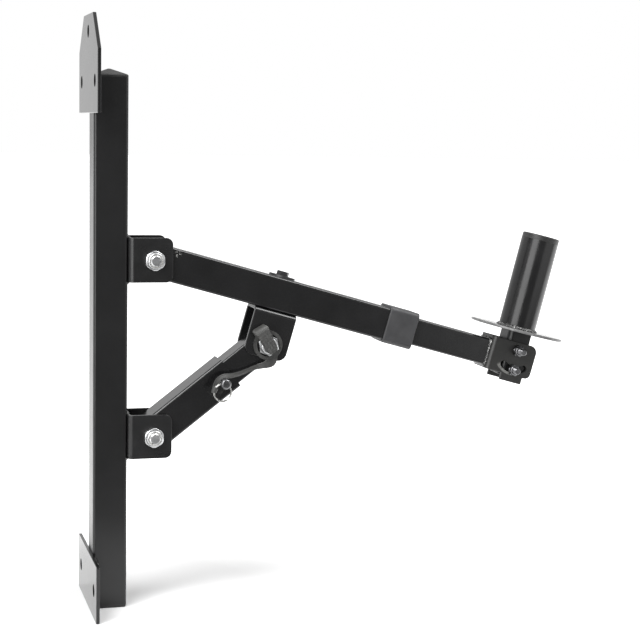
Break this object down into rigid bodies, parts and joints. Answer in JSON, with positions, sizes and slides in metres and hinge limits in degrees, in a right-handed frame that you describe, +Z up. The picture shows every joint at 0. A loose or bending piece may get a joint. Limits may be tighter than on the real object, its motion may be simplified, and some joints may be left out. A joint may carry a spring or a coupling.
{
  "type": "speaker wall bracket",
  "caption": "Steel wall bracket for a loudspeaker: a post with wall plates, a hinged telescopic boom with a pinned strut, and a tilting disc with an upright spigot.",
  "frame": {"origin": "on the wall face, at the centre of the rectangle of four corner fixing holes", "axes": "+X away from the wall, +Y along the wall, +Z up the post"},
  "size_m": [0.4473, 0.12, 0.52],
  "materials": {
    "black_paint": "semi-gloss black powder coat on steel",
    "black_fastener": "black oxide on steel",
    "zinc_fastener": "bright zinc plating",
    "ring_wire": "bright nickel-plated spring wire",
    "black_plastic": "satin black plastic",
    "grey_plastic": "satin dark grey plastic",
    "nylon": "plain nylon",
    "tether_rubber": "matt grey rubber with a knurled pull tab"
  },
  "bodies": {
    "wall_frame": {"wall_post": "black_paint", "top_wall_plate": "black_paint", "bottom_wall_plate": "black_paint", "post_top_cap": "black_plastic", "post_bottom_cap": "black_plastic", "plate_welds": "black_paint", "clevis_welds": "black_paint", "upper_clevis": "black_paint", "upper_pivot_bolt": "zinc_fastener", "upper_pivot_nut": "zinc_fastener", "upper_pivot_washers": "nylon", "lower_clevis": "black_paint", "lower_pivot_bolt": "zinc_fastener", "lower_pivot_nut": "zinc_fastener", "lower_pivot_washers": "nylon"},
    "boom": {"boom_tube": "black_paint", "boom_collar": "grey_plastic", "strut_yoke": "black_paint", "yoke_bolt": "black_fastener", "yoke_washer": "black_fastener", "yoke_nut": "black_fastener"},
    "extension": {"extension_tube": "black_paint", "extension_glide": "black_plastic", "head_clevis": "black_paint", "head_weld": "black_paint", "head_pivot_bolt": "zinc_fastener", "head_pivot_nut": "zinc_fastener"},
    "head": {"head_tongue": "black_paint", "support_disc": "black_paint", "spigot_tube": "black_paint", "spigot_weld": "black_paint", "spigot_cap": "black_plastic", "head_clamp_bolt": "zinc_fastener", "head_clamp_nut": "zinc_fastener"},
    "strut_outer": {"strut_outer_tube": "black_paint", "tether_strap": "tether_rubber"},
    "strut_inner": {"strut_inner_tube": "black_paint", "strut_pivot_bolt": "zinc_fastener", "strut_pivot_nut": "zinc_fastener", "tether_eyelet": "tether_rubber"},
    "lock_pin": {"lock_pin": "zinc_fastener", "pin_ring": "ring_wire"}
  },
  "joints": [
    {"name": "boom_tilt", "type": "hinge", "parent": "wall_frame", "child": "boom", "pos_m": [0.0555, 0, 0.066], "axis": [0, -1, 0], "range_deg": [0, 20]},
    {"name": "strut_swing", "type": "hinge", "parent": "wall_frame", "child": "strut_outer", "pos_m": [0.0555, 0, -0.09], "axis": [0, -1, 0], "range_deg": [0, 6.4]},
    {"name": "strut_slide", "type": "slide", "parent": "strut_outer", "child": "strut_inner", "axis": [0.7903, 0, 0.6127], "range_m": [0, 0.0416], "deforming": ["tether_strap"]},
    {"name": "lock_pin_pull", "type": "slide", "parent": "strut_outer", "child": "lock_pin", "axis": [0, -1, 0], "range_m": [0, 0.03], "deforming": ["tether_strap"]},
    {"name": "extension_slide", "type": "slide", "parent": "boom", "child": "extension", "axis": [0.9636, 0, -0.2672], "range_m": [-0.04, 0.035]},
    {"name": "head_tilt", "type": "hinge", "parent": "extension", "child": "head", "pos_m": [0.39994, 0, -0.02039], "axis": [0, 1, 0], "range_deg": [-12, 30]}
  ],
  "couplings": [
    {"joint": "strut_swing", "follows": "boom_tilt", "ratio": 0.315},
    {"joint": "strut_slide", "follows": "boom_tilt", "m_per_rad": 0.1189}
  ]
}
